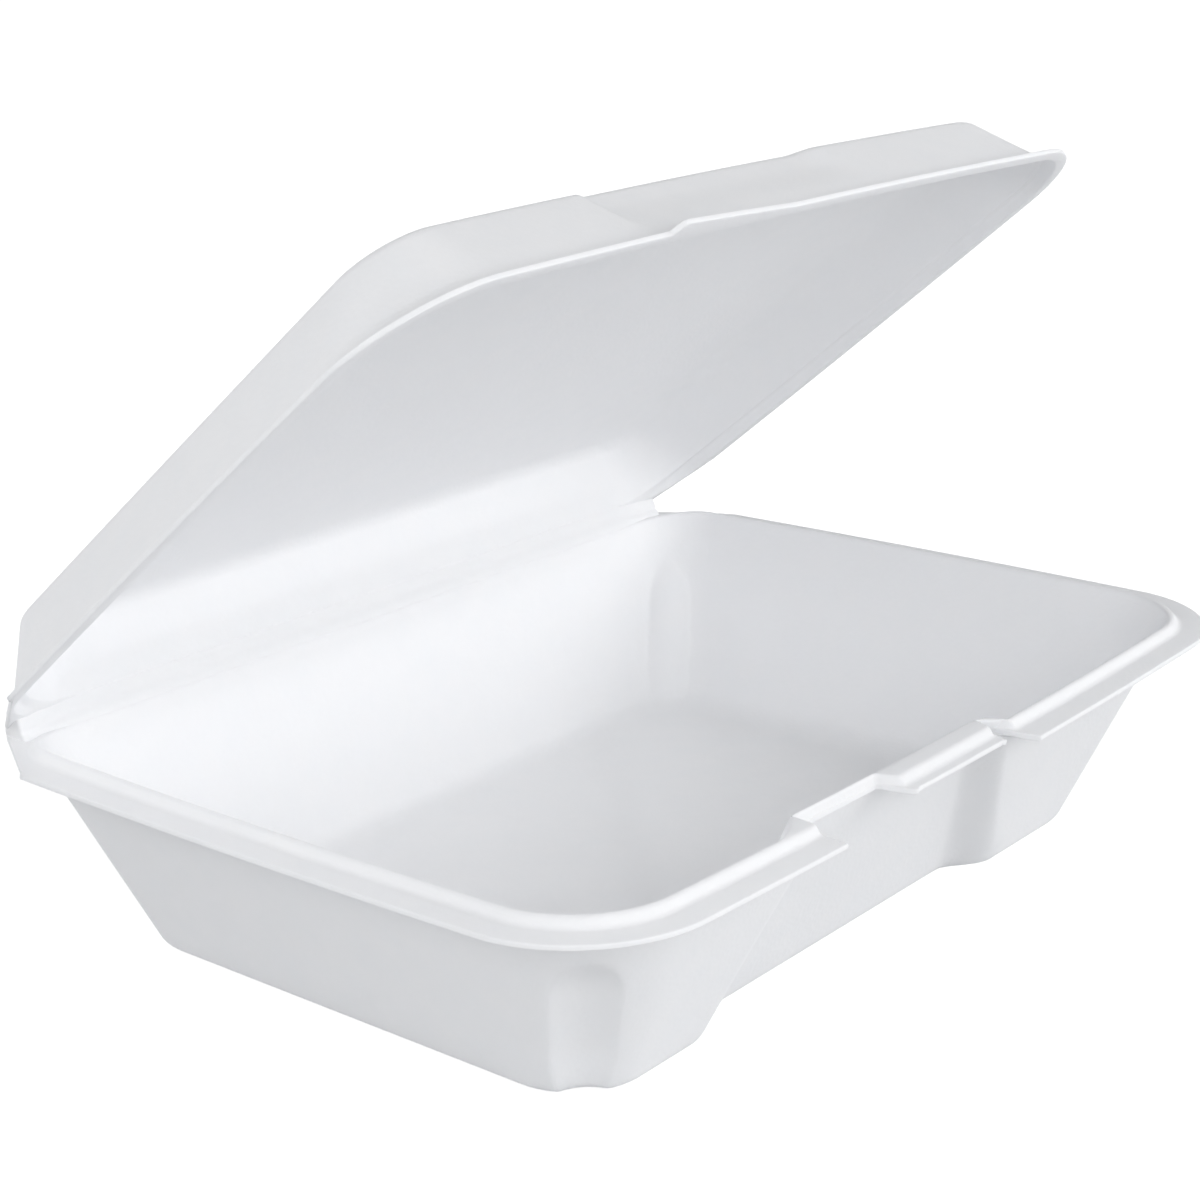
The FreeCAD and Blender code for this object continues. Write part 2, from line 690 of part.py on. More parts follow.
def lid_cavity():
    """The closed lid's hollow, open below."""
    body = new_body("lid_cavity")
    wall = S["sheet_wall"]
    ceiling = lid_top - S["sheet_floor"]
    block = leaning_block(body, "lid_hollow", lid_level, ceiling,
                          lid_walls(lid_level, wall), lid_walls(ceiling, wall))
    corners = edges_where(block, rising_edges(edge_half))
    round_block = fillet(body, "lid_inner_corners", block, corners, S["lid_wall_round"] - wall)
    top_edges = edges_where(round_block, level_edges(ceiling.number))
    bevel(body, "ceiling_bevel", round_block, top_edges, S["ceiling_bevel"])
    lid_recess(body, "lid_recess_inside", ceiling, wall)
    loft(body, "channel", [
        channel_outline(body, "channel_mouth", lid_level, size(0.0), size(0.0)),
        channel_outline(body, "channel_ceiling", step_level, S["lid_step"], size(0.0))])
    return body


tray = difference("tray", tray_form(), tray_cavity())
lid = difference("lid", lid_form(), lid_cavity())
opened = FreeCAD.Rotation(V(-1, 0, 0), S["open_angle"].number)
lid.Placement = FreeCAD.Placement(V(0, crease_y.number, crease_z.number), opened)
bind(lid, "Placement.Base.y", crease_y)
bind(lid, "Placement.Base.z", crease_z)
bind(lid, "Placement.Rotation.Angle", S["open_angle"])
doc.recompute()

PARTS = (tray, lid)


def check_all():
    """Stops the build if any object failed or a sub-part isn't one sound solid."""
    for thing in doc.Objects:
        if "Invalid" in thing.State or "Error" in thing.State:
            raise RuntimeError(f"{thing.Name} failed: {thing.State}")
    for part in PARTS:
        shape = part.Shape
        if shape.isNull() or not shape.isValid() or len(shape.Solids) != 1:
            raise RuntimeError(f"{part.Label} isn't one sound solid")
        box = shape.BoundBox
        print(part.Label, "volume", round(shape.Volume), "box", [round(v, 2) for v in (
            box.XMin, box.XMax, box.YMin, box.YMax, box.ZMin, box.ZMax)])


check_all()
os.makedirs("parts", exist_ok=True)
for part in PARTS:
    part.Shape.exportStep(f"parts/{part.Label}.step")
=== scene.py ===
# %% [markdown]
# # A foam clamshell container
# One sheet of white expanded-polystyrene foam, pressed hot into a tray and a lid that share a rear crease.
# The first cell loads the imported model, which fixes every size and place in metres.

import json
import math

import bpy
import numpy as np
from mathutils import Matrix, Vector


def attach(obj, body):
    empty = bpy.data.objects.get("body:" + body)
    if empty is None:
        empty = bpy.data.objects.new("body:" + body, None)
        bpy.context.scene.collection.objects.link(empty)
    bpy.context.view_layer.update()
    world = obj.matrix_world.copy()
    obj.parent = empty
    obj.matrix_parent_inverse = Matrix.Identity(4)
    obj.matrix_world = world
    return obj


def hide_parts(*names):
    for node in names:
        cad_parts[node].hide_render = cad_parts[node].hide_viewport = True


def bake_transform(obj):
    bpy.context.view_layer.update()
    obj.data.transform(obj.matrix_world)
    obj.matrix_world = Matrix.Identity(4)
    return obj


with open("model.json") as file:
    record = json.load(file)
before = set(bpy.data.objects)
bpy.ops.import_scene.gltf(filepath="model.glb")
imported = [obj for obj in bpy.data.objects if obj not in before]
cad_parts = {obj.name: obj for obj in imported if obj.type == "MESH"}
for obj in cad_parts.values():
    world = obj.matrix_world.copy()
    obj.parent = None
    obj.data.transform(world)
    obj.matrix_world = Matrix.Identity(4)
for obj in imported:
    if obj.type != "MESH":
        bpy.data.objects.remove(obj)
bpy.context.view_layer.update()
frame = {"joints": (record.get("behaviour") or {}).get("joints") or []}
scene = bpy.context.scene
scene.view_settings.view_transform = "Standard"

# %% [markdown]
# ## The camera
# The camera stands in front of the tray's left corner and a little above it, as the photograph was taken.
# A constraint could aim it. Here its direction is written as an azimuth, an elevation and a small roll,
# because three angles are easy to read and to change.

# %% Camera
AZIMUTH = -50.06
ELEVATION = 17.52
ROLL = -1.42
DISTANCE = 0.56275
TARGET = Vector((0.00724, 0.01475, 0.0602))
FOCAL_LENGTH = 73.75
SENSOR = 36.0


def camera_axes(azimuth, elevation, roll):
    """Right, up and backward unit vectors of a camera, from its direction and its roll."""
    a, e, r = (math.radians(angle) for angle in (azimuth, elevation, roll))
    back = Vector((math.sin(a) * math.cos(e), -math.cos(a) * math.cos(e), math.sin(e)))
    level = (-back).cross(Vector((0, 0, 1))).normalized()
    upright = level.cross(-back)
    right = math.cos(r) * level + math.sin(r) * upright
    up = math.cos(r) * upright - math.sin(r) * level
    return right, up, back


right, up, back = camera_axes(AZIMUTH, ELEVATION, ROLL)
camera_data = bpy.data.cameras.new("camera")
camera_data.lens = FOCAL_LENGTH
camera_data.sensor_width = SENSOR
camera = bpy.data.objects.new("camera", camera_data)
turned = Matrix((right, up, back)).transposed().to_4x4()
camera.matrix_world = Matrix.Translation(TARGET + back * DISTANCE) @ turned
scene.collection.objects.link(camera)
scene.camera = camera
print("camera at", [round(v, 4) for v in camera.matrix_world.translation])

# %% [markdown]
# ## One helper for materials
# Every finish here is a node tree. A colour is written as the sRGB hex value that a designer would pick,
# and one function turns it to the linear values that the shader works with.

# %% Material helpers
def colour(hex_value):
    """Linear RGBA of an sRGB hex colour: each channel is raised to about 2.4, as the sRGB standard says."""
    channels = [int(hex_value[i:i + 2], 16) / 255 for i in (1, 3, 5)]
    return tuple(c / 12.92 if c <= 0.04045 else ((c + 0.055) / 1.055) ** 2.4 for c in channels) + (1.0,)


def node(tree, kind, settings=None, **links):
    """Adds a node, sets its properties and input values, and links the sockets that are given."""
    made = tree.nodes.new(kind)
    for name, value in (settings or {}).items():
        if name in made.inputs:
            made.inputs[name].default_value = value
        else:
            setattr(made, name, value)
    for name, source in links.items():
        tree.links.new(source, made.inputs[name.replace("_", " ")])
    return made


def new_material(name):
    """An empty node material and its node tree."""
    material = bpy.data.materials.new(name)
    material.use_nodes = True
    material.node_tree.nodes.clear()
    return material, material.node_tree


# %% [markdown]
# ## Pressed polystyrene foam
# The real material is foamed polystyrene sheet, formed between hot moulds. Its skin is matt and very white,
# with closed cells of about half a millimetre that show as a fine soft grain. Cells that small are lost in
# the render, so they are drawn about twice as coarse. Foam also lets some light through, which keeps its
# shaded sides pale. A part of the shader is translucent for that, which is simple and suits a thin sheet.

# %% Foam material
FOAM_WHITE = "#FAFAFB"
FOAM_SHADE = "#F6F7F9"
CELL_MM = 1.1
CELL_STRENGTH = 0.25
CELL_DEPTH = 0.0002
MOTTLE_MM = 7.0
SKIN_ROUGHNESS = 0.6
SKIN_IOR = 1.45
LIGHT_THROUGH = 0.2
METRE = 1000.0


def foam_sheet():
    """White foamed polystyrene: matt skin, faint mottle, a bump of closed cells, and some light through."""
    material, tree = new_material("foamed_polystyrene_sheet")
    place = node(tree, "ShaderNodeTexCoord").outputs["Object"]
    mottle = node(tree, "ShaderNodeTexNoise", {"Scale": METRE / MOTTLE_MM, "Detail": 1.0}, Vector=place)
    tint = node(tree, "ShaderNodeMix", {"data_type": "RGBA"})
    tint.inputs[6].default_value = colour(FOAM_SHADE)
    tint.inputs[7].default_value = colour(FOAM_WHITE)
    tree.links.new(mottle.outputs["Fac"], tint.inputs[0])
    cells = node(tree, "ShaderNodeTexVoronoi", {"Scale": METRE / CELL_MM}, Vector=place)
    bump = node(tree, "ShaderNodeBump", {"Strength": CELL_STRENGTH, "Distance": CELL_DEPTH},
                Height=cells.outputs["Distance"])
    skin = node(tree, "ShaderNodeBsdfPrincipled", {"Roughness": SKIN_ROUGHNESS, "IOR": SKIN_IOR},
                Base_Color=tint.outputs[2], Normal=bump.outputs["Normal"])
    through = node(tree, "ShaderNodeBsdfTranslucent", Color=tint.outputs[2])
    both = node(tree, "ShaderNodeMixShader", {"Fac": LIGHT_THROUGH})
    tree.links.new(skin.outputs["BSDF"], both.inputs[1])
    tree.links.new(through.outputs[0], both.inputs[2])
    node(tree, "ShaderNodeOutputMaterial", Surface=both.outputs[0])
    return material


foam = foam_sheet()
print("material", foam.name)

# %% [markdown]
# ## One sheet of foam, drawn as rings
# The real container is a single sheet pressed between hot moulds, so each surface flows into the next.
# Boxes with bevels would show seams, and sculpting would lose the sizes. Here each half is a stack of
# closed rings, from the middle of one face, round the rim, to the middle of the other face. A ring is a
# swelling rectangle with round corners, and its columns of points line up from ring to ring.

# %% Columns of points round a ring
CREASE = np.array(frame["joints"][0]["pos_m"]) * METRE
RIM_HALF = 118.0
RIM_DEPTH = 172.5
SIDE_SWELL = 1.9
FRONT_SWELL = 3.3
RIM_ROUND = 25.0
REAR_ROUND = 21.6
LEFT_NOTCH = -50.5
TONGUE_LEFT = -21.0
TONGUE_RIGHT = 14.0
RIGHT_NOTCH = 18.5


def bunched(low, high, count, spots, width, crowd):
    """Places from low to high that stand closer together near some spots.

    The density is one, plus a bell curve of the given width and height at each spot.
    Its running sum, turned round, gives the places.
    """
    fine = np.linspace(low, high, 6001)
    density = 1 + crowd * sum(np.exp(-((fine - spot) / width) ** 2) for spot in spots)
    total = np.cumsum(density)
    total = (total - total[0]) / (total[-1] - total[0])
    return np.interp(np.linspace(0, 1, count), total, fine)


FRONT_RUN = RIM_HALF - RIM_ROUND
LATCH_STEPS = np.array([LEFT_NOTCH, TONGUE_LEFT, TONGUE_RIGHT, RIGHT_NOTCH]) / FRONT_RUN
front_share = bunched(-1, 1, 280, LATCH_STEPS, 0.016, 9.0)[:-1]
corner_share = bunched(0, 1, 48, (0.5,), 0.22, 1.2)[:-1]
side_share = np.linspace(0, 1, 50)[:-1]
rear_share = np.linspace(1, -1, 60)[:-1]
print("columns", front_share.size + 4 * corner_share.size + 2 * side_share.size + rear_share.size)

# %% A ring and its parts
DIAGONAL = math.sqrt(0.5)


def ring(level, half, rear, front, front_round, rear_round, side_swell=0.0, front_swell=0.0):
    """One closed ring at a level, counter-clockwise from the left end of the front.

    Straight runs and quarter circles make a round-cornered rectangle from y = -front to y = rear.
    Then x grows by side_swell (1 - v^2) and the front moves out by front_swell (1 - u^2), where
    u and v run from -1 to 1 across and along the ring.
    """
    turn = corner_share * math.pi / 2
    run = half - front_round
    far = half - rear_round
    low = front_round - front
    high = rear - rear_round
    sine, cosine = np.sin(turn), np.cos(turn)
    x = np.concatenate([
        front_share * run, run + front_round * sine, np.full(side_share.size, half),
        far + rear_round * cosine, rear_share * far, -far - rear_round * sine,
        np.full(side_share.size, -half), -run - front_round * cosine])
    y = np.concatenate([
        np.full(front_share.size, -front), low - front_round * cosine, low + (high - low) * side_share,
        high + rear_round * sine, np.full(rear_share.size, rear), high + rear_round * cosine,
        high + (low - high) * side_share, low - front_round * sine])
    middle = (rear - front) / 2
    v = (y - middle) / ((rear + front) / 2)
    u = x / half
    x = x + side_swell * (1 - v ** 2) * u
    y = y - front_swell * (1 - u ** 2) * np.clip(-v, 0, 1) ** 2
    return np.stack([x, y, np.full(x.size, float(level))], axis=1)


def corner_parts():
    """For every column: which corner it is in (0 for none), and its angle from that corner's diagonal."""
    sizes = [front_share.size, corner_share.size, side_share.size, corner_share.size,
             rear_share.size, corner_share.size, side_share.size, corner_share.size]
    part = np.repeat(np.arange(8), sizes)
    angle = np.zeros(part.size)
    for k in (1, 3, 5, 7):
        angle[part == k] = (corner_share - 0.5) * math.pi / 2
    return part, angle


PART, ANGLE = corner_parts()
IN_CORNER = [PART == 1, PART == 3, PART == 5, PART == 7]
INWARD_X = np.select(IN_CORNER, [-DIAGONAL, -DIAGONAL, DIAGONAL, DIAGONAL], 0.0)
INWARD_Y = np.select(IN_CORNER, [DIAGONAL, -DIAGONAL, -DIAGONAL, DIAGONAL], 0.0)
print("columns in corners", int(np.sum(IN_CORNER)))


def ease(t):
    """Smooth step: 3 t^2 - 2 t^3 between 0 and 1."""
    t = np.clip(t, 0, 1)
    return t * t * (3 - 2 * t)


def window(x, left, right, left_width, right_width):
    """One between left and right and zero outside, with smooth ends of the given widths."""
    return ease((x - left) / left_width + 0.5) * (1 - ease((x - right) / right_width + 0.5))


def mix(low, high, share):
    """The value at a share of the way from one to another."""
    return low + (high - low) * share


# %% From rings to a closed skin
NEAR_SHARE = 0.45
TINY = 1e-6


def soften(before, corner, after, reach, count):
    """Rings that round a sharp ring: a quadratic curve in each column, which starts and ends at a reach
    from the corner, or at NEAR_SHARE of the way to the next ring where that is nearer."""
    back = before - corner
    ahead = after - corner
    long_back = np.linalg.norm(back, axis=1, keepdims=True)
    long_ahead = np.linalg.norm(ahead, axis=1, keepdims=True)
    start = corner + back / np.maximum(long_back, TINY) * np.minimum(reach, NEAR_SHARE * long_back)
    end = corner + ahead / np.maximum(long_ahead, TINY) * np.minimum(reach, NEAR_SHARE * long_ahead)
    steps = np.linspace(0, 1, count)[:, None, None]
    return (1 - steps) ** 2 * start + 2 * steps * (1 - steps) * corner + steps ** 2 * end


def stack(controls):
    """All rings of a skin, from (ring, reach, count) rows. A row whose reach is 0 stays as it is."""
    rings = [controls[0][0][None]]
    for row, (corner, reach, count) in enumerate(controls[1:-1], start=1):
        if reach > 0:
            rings.append(soften(controls[row - 1][0], corner, controls[row + 1][0], reach, count))
        else:
            rings.append(corner[None])
    rings.append(controls[-1][0][None])
    return np.concatenate(rings)


def shrunk(edge, scales):
    """Copies of a ring, drawn together towards its middle."""
    middle = edge.mean(axis=0)
    return [((edge - middle) * scale + middle, 0.0, 1) for scale in scales]


def skin(name, rings, first_middle, last_middle):
    """Mesh of quads between neighbouring rings, closed by a fan of triangles at both ends."""
    rows, columns = rings.shape[:2]
    points = np.concatenate([rings.reshape(-1, 3), [first_middle], [last_middle]]) / METRE
    row = np.arange(rows - 1)[:, None] * columns
    here = np.arange(columns)[None, :]
    there = (here + 1) % columns
    quads = np.stack([row + here, row + there, row + columns + there, row + columns + here], axis=-1)
    first, last = rows * columns, rows * columns + 1
    top = (rows - 1) * columns
    one = np.arange(columns)
    two = (one + 1) % columns
    fans = np.concatenate([
        np.stack([np.full(columns, first), two, one], axis=1),
        np.stack([np.full(columns, last), top + one, top + two], axis=1)])
    mesh = bpy.data.meshes.new(name)
    mesh.vertices.add(len(points))
    mesh.vertices.foreach_set("co", points.astype(np.float32).ravel())
    corners = np.concatenate([quads.reshape(-1), fans.reshape(-1)])
    sizes = np.concatenate([np.full(quads.size // 4, 4), np.full(len(fans), 3)])
    mesh.loops.add(len(corners))
    mesh.loops.foreach_set("vertex_index", corners.astype(np.int32))
    mesh.polygons.add(len(sizes))
    starts = np.concatenate([[0], np.cumsum(sizes)[:-1]])
    mesh.polygons.foreach_set("loop_start", starts.astype(np.int32))
    mesh.update(calc_edges=True)
    mesh.validate()
    mesh.shade_smooth()
    mesh.materials.append(foam)
    made = bpy.data.objects.new(name, mesh)
    scene.collection.objects.link(made)
    triangles = 2 * quads.size // 4 + len(fans)
    print(name, "rings", rows, "triangles", triangles)
    return made


# %% [markdown]
# ## The tray's walls
# The walls lean out from a round-cornered foot to the rim. Each corner has a hollow flute with an arched
# top, which stiffens the foam and shows inside as a rib, and the front is set back between two feet.
# Cutting these out of a finished wall would leave hard edges, so each one moves the wall's points instead.

# %% Tray walls
TRAY_HEIGHT = 46.0
BEAD_TOP = 49.2
SHEET = 2.1
FLOOR_SHEET = 2.2
FOOT_HALF = 93.9
FOOT_REAR = 65.55
FOOT_FRONT = 63.3
WALL_INSET = 4.1
REAR_WALL_INSET = 5.9
FOOT_ROUND = 16.0
TOP_ROUND = 22.0
OUTER_TOP_ROUND = 26.0
REAR_TOP_ROUND = 17.0
FLUTE_RADIUS = 8.5
FLUTE_DEPTH = 3.4
FLUTE_FOOT_DEPTH = 2.0
FLUTE_GROWTH = 12.0
FLUTE_TOP = 36.0
FLUTE_FADE = 4.0
FLUTE_SOFT = 0.25

# Each pair of the front recess is its size at the foot and at the rim.
RECESS_DEPTH = (6.8, 5.6)
RECESS_LEFT = (-52.0, -47.5)
RECESS_LEFT_WIDTH = (20.0, 2.5)
RECESS_RIGHT = (46.5, 16.5)
RECESS_RIGHT_WIDTH = (12.0, 6.0)
LEDGE_LEFT = -54.0
LEDGE_WIDTH = 13.0


def recess(x, z, inside):
    """How far the tray's front wall is set back. Its left end is nearly upright, its right end slants.

    On the outside the left end grows sharp towards the rim. Inside it stays a slanted ledge.
    """
    rise = np.clip(z / TRAY_HEIGHT, 0, 1)
    left = LEDGE_LEFT if inside else mix(*RECESS_LEFT, rise)
    left_width = LEDGE_WIDTH if inside else mix(*RECESS_LEFT_WIDTH, rise)
    right = mix(*RECESS_RIGHT, rise)
    return mix(*RECESS_DEPTH, rise) * window(x, left, right, left_width, mix(*RECESS_RIGHT_WIDTH, rise))


def flute(z, corner_round, radius, softness):
    """How far a corner flute cuts in: a parabola across the corner, arched over at the top.

    The sharp edges of max(cut, 0) are softened as (cut + sqrt(cut^2 + softness^2)) / 2.
    """
    across = corner_round * np.sin(ANGLE)
    over = np.maximum(z - (FLUTE_TOP - math.sqrt(2 * radius * FLUTE_DEPTH)), 0)
    depth = mix(FLUTE_FOOT_DEPTH, FLUTE_DEPTH, ease(z / FLUTE_GROWTH))
    cut = depth - (across ** 2 + over ** 2) / (2 * radius) - corner_round * (1 - np.cos(ANGLE))
    soft = (cut + np.sqrt(cut ** 2 + softness ** 2)) / 2
    return soft * (PART % 2 == 1) * ease((across.max() - np.abs(across)) / FLUTE_FADE)


def tray_wall(z, inward=0.0):
    """Ring of the tray's wall at a height, moved inward by the sheet's thickness for the inside."""
    share = z / BEAD_TOP
    corner = mix(FOOT_ROUND, TOP_ROUND if inward > 0 else OUTER_TOP_ROUND, share) - inward
    points = ring(z, mix(FOOT_HALF, RIM_HALF - WALL_INSET, share) - inward,
                  mix(FOOT_REAR, CREASE[1] - REAR_WALL_INSET, share) - inward,
                  mix(FOOT_FRONT, RIM_DEPTH - CREASE[1] - WALL_INSET, share) - inward,
                  corner, mix(FOOT_ROUND, REAR_TOP_ROUND, share) - inward,
                  SIDE_SWELL * share, FRONT_SWELL * share)
    front = points[:, 1] < 0
    points[:, 1] += recess(points[:, 0], z, inward > 0) * front
    cut = flute(z, corner, FLUTE_RADIUS + inward / 2, FLUTE_SOFT + inward * 0.2)
    points[:, 0] += cut * INWARD_X
    points[:, 1] += cut * INWARD_Y
    return points


print("tray foot", 2 * FOOT_HALF, "by", FOOT_REAR + FOOT_FRONT, "mm")

# %% [markdown]
# ## The rim and the latch
# Outside the raised bead the sheet is pressed thin into a flat flange. At the front it is cut away in two
# notches, and the tongue between them is the part that the lid's latch catches on. Both are steps in how
# far the rim's line stands in, so that the rings need no cut.

# %% Tray rim
FLANGE_TOP = 47.2
FLANGE_OUT = 2.3
NOTCH_INSET = 10.4
TONGUE_SETBACK = 2.8
CUT = 0.5
TAPER_START = 22.0
CREASE_HALF = 108.0
EAR_BACK = 16.4
EAR_REACH = 115.0
EAR_RADIUS = 16.0
CORNER_POWER = 60.0


def latch_inset(x, plain, notch, tongue):
    """Inset of a rim line: plain outside the latch, deeper in the two notches and at the tongue."""
    left = window(x, LEFT_NOTCH, TONGUE_LEFT, CUT, 4.0)
    middle = window(x, TONGUE_LEFT, TONGUE_RIGHT, 4.0, 3.0)
    right = window(x, TONGUE_RIGHT, RIGHT_NOTCH, 3.0, 2.5)
    return plain + (notch - plain) * np.maximum(left, right) * (1 - middle) + (tongue - plain) * middle


def rim(level, inset, rear_inset, notch, tongue):
    """Ring of the rim at a distance inside its edge, with its own insets at the notches and the tongue."""
    points = ring(level, RIM_HALF - inset, CREASE[1] - rear_inset, RIM_DEPTH - CREASE[1] - inset,
                  RIM_ROUND - inset, REAR_ROUND - rear_inset, SIDE_SWELL, FRONT_SWELL)
    points[:, 1] += (latch_inset(points[:, 0], inset, notch, tongue) - inset) * (PART == 0)
    return points


def with_ears(points, rear, half, ear_back, ear_reach):
    """Moves a flange edge's two rear corners to their cut line: a slant to the crease, with a round ear.

    Each point of a corner moves along its ray from the corner's middle, to the nearest of the side, the
    rear and the slant, or out to the ear's circle where that is farther. The nearest is a power mean
    with a high negative power, which rounds the meetings a little.
    """
    points = points.copy()
    middle = np.array([half - REAR_ROUND, rear - REAR_ROUND])
    slant = np.array([TAPER_START, half + SIDE_SWELL / 3 - CREASE_HALF])
    slant = slant / np.linalg.norm(slant)
    reach = slant @ (np.array([CREASE_HALF, rear]) - middle)
    ear = np.array([ear_reach - EAR_RADIUS, rear - ear_back]) - middle
    for part, side in ((3, 1), (5, -1)):
        here = PART == part
        angle = math.pi / 4 + ANGLE[here] * side
        ray = np.stack([np.cos(angle), np.sin(angle)], axis=1)
        lines = np.stack([REAR_ROUND / np.maximum(ray[:, 0], 1e-3), REAR_ROUND / np.maximum(ray[:, 1], 1e-3),
                          reach / (ray @ slant)])
        edge = (lines ** -CORNER_POWER).sum(axis=0) ** (-1 / CORNER_POWER)
        along = ray @ ear
        under = along ** 2 - ear @ ear + EAR_RADIUS ** 2
        out = np.where(under > 0, along + np.sqrt(np.maximum(under, 0)), 0)
        length = np.maximum(edge, out)[:, None]
        points[here, :2] = (middle + ray * length) * (side, 1)
    return points


print("tray rim", 2 * (RIM_HALF + FLANGE_OUT), "mm over the flange, before its swell")

# %% The tray's skin
REAR_SINK = 1.6
TURN = (ANGLE + math.pi / 4) / (math.pi / 2)
REARWARD = np.select([PART == 3, PART == 4, PART == 5], [ease(TURN), 1.0, ease(1 - TURN)], 0.0)


def lowered(points, amount):
    """The same ring, sunk by an amount along the rear. Round the rear corners the drop eases away."""
    points = points.copy()
    points[:, 2] -= amount * REARWARD
    return points


def tray_rings():
    """All rings of the tray, from the middle of its underside, over the rim, to the middle of its floor."""
    foot = tray_wall(0.0)
    floor_edge = tray_wall(FLOOR_SHEET, SHEET)
    edge = rim(TRAY_HEIGHT, -FLANGE_OUT, 0.0, NOTCH_INSET, TONGUE_SETBACK)
    flange_low = with_ears(edge, CREASE[1], RIM_HALF + FLANGE_OUT, EAR_BACK, EAR_REACH)
    flange_high = flange_low + (0, 0, FLANGE_TOP - TRAY_HEIGHT)
    rows = shrunk(foot, (0.04, 0.25, 0.5, 0.75, 0.92))
    rows.append((foot, 4.0, 9))
    rows += [(tray_wall(z), 0.0, 1) for z in np.arange(5.0, 44.6, 1.5)]
    rows.append((tray_wall(TRAY_HEIGHT), 1.2, 5))
    rows.append((flange_low, 0.35, 4))
    rows.append((flange_high, 0.35, 4))
    rows.append((rim(FLANGE_TOP, 3.7, 5.6, NOTCH_INSET + 0.2, TONGUE_SETBACK + 2.4), 0.9, 5))
    bead = rim(BEAD_TOP, 5.0, 6.8, NOTCH_INSET + 0.4, TONGUE_SETBACK + 3.8)
    rows.append((lowered(bead, REAR_SINK), 0.8, 5))
    rows.append((lowered(tray_wall(BEAD_TOP, SHEET), REAR_SINK), 1.4, 10))
    rows += [(tray_wall(z, SHEET), 0.0, 1) for z in np.arange(47.0, 11.0, -1.5)]
    rows.append((floor_edge, 8.0, 13))
    rows += shrunk(floor_edge, (0.84, 0.62, 0.42, 0.22, 0.04))
    return stack(rows)


rings = tray_rings()
tray_skin = skin("tray_skin", rings, rings[0].mean(axis=0), rings[-1].mean(axis=0))
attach(tray_skin, "tray")
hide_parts("tray")

# %% [markdown]
# ## The lid
# The lid is the same sheet's other half, pressed shallower, and its rim has a channel that nests over the
# tray's bead. Its top sags a little towards the sides. It is worked out closed, where its sizes match the
# tray's and are easy to compare, with the crease at its own origin, and then turned open about it.

# %% Lid walls and rim
OPEN_ANGLE = math.radians(38.8)
LID_LOW = 0.15
LID_FLANGE_TOP = 1.35
LID_STEP = 2.95
LID_FOOT = 4.2
LID_TOP = 20.15
LID_INSET = 4.9
LID_TOP_HALF = 102.0
LID_TOP_FRONT = 159.6
LID_TOP_REAR = 10.6
LID_TOP_ROUND = 13.0
LID_INNER_ROUND = 20.5
LID_OUTER_ROUND = 25.0
LID_RECESS = 1.8
LID_MARGIN = 0.4
LID_SAG = 1.1
LID_REAR = 0.7
LID_EAR_BACK = 17.2
LID_EAR_REACH = 114.5
LIP_LEFT = -47.6
LIP_RIGHT = -8.4
LIP_REACH = 3.6


def lid_wall(z, inward=0.0):
    """Ring of the closed lid's wall at a height over the crease. The front has a shallow recess at its top."""
    share = (z - LID_FOOT) / (LID_TOP - LID_FOOT)
    low_round = LID_INNER_ROUND if inward > 0 else LID_OUTER_ROUND
    points = ring(z, mix(RIM_HALF - LID_INSET, LID_TOP_HALF, share) - inward,
                  mix(-REAR_WALL_INSET, -LID_TOP_REAR, share) - inward,
                  mix(RIM_DEPTH - LID_INSET, LID_TOP_FRONT, share) - inward,
                  mix(low_round, LID_TOP_ROUND, share) - inward * 0.7, mix(18.0, 9.0, share) - inward * 0.7,
                  mix(SIDE_SWELL, 0.6, share), mix(FRONT_SWELL, 1.2, share))
    depth = LID_RECESS * ease(share * 1.4)
    points[:, 1] += depth * window(points[:, 0], -47.0, 27.0, 4.0, 10.0) * (PART == 0)
    points[:, 2] -= LID_SAG * np.clip(share, 0, 1) * (points[:, 0] / RIM_HALF) ** 2
    return points


def lid_rim(level, inset, rear_inset, lip=0.0):
    """Ring of the closed lid's rim. The latch lip stands out at its left end and merges to the right."""
    points = ring(level, RIM_HALF - inset, -rear_inset, RIM_DEPTH - inset,
                  RIM_ROUND - inset, REAR_ROUND - rear_inset, SIDE_SWELL, FRONT_SWELL)
    x = points[:, 0]
    share = (x - LIP_LEFT) / (LIP_RIGHT - LIP_LEFT)
    out = np.where((share > 0) & (share < 1), 1 - np.clip(share, 0, 1), 0) * ease((x - LIP_LEFT) / CUT)
    points[:, 1] -= lip * out * (PART == 0)
    return points


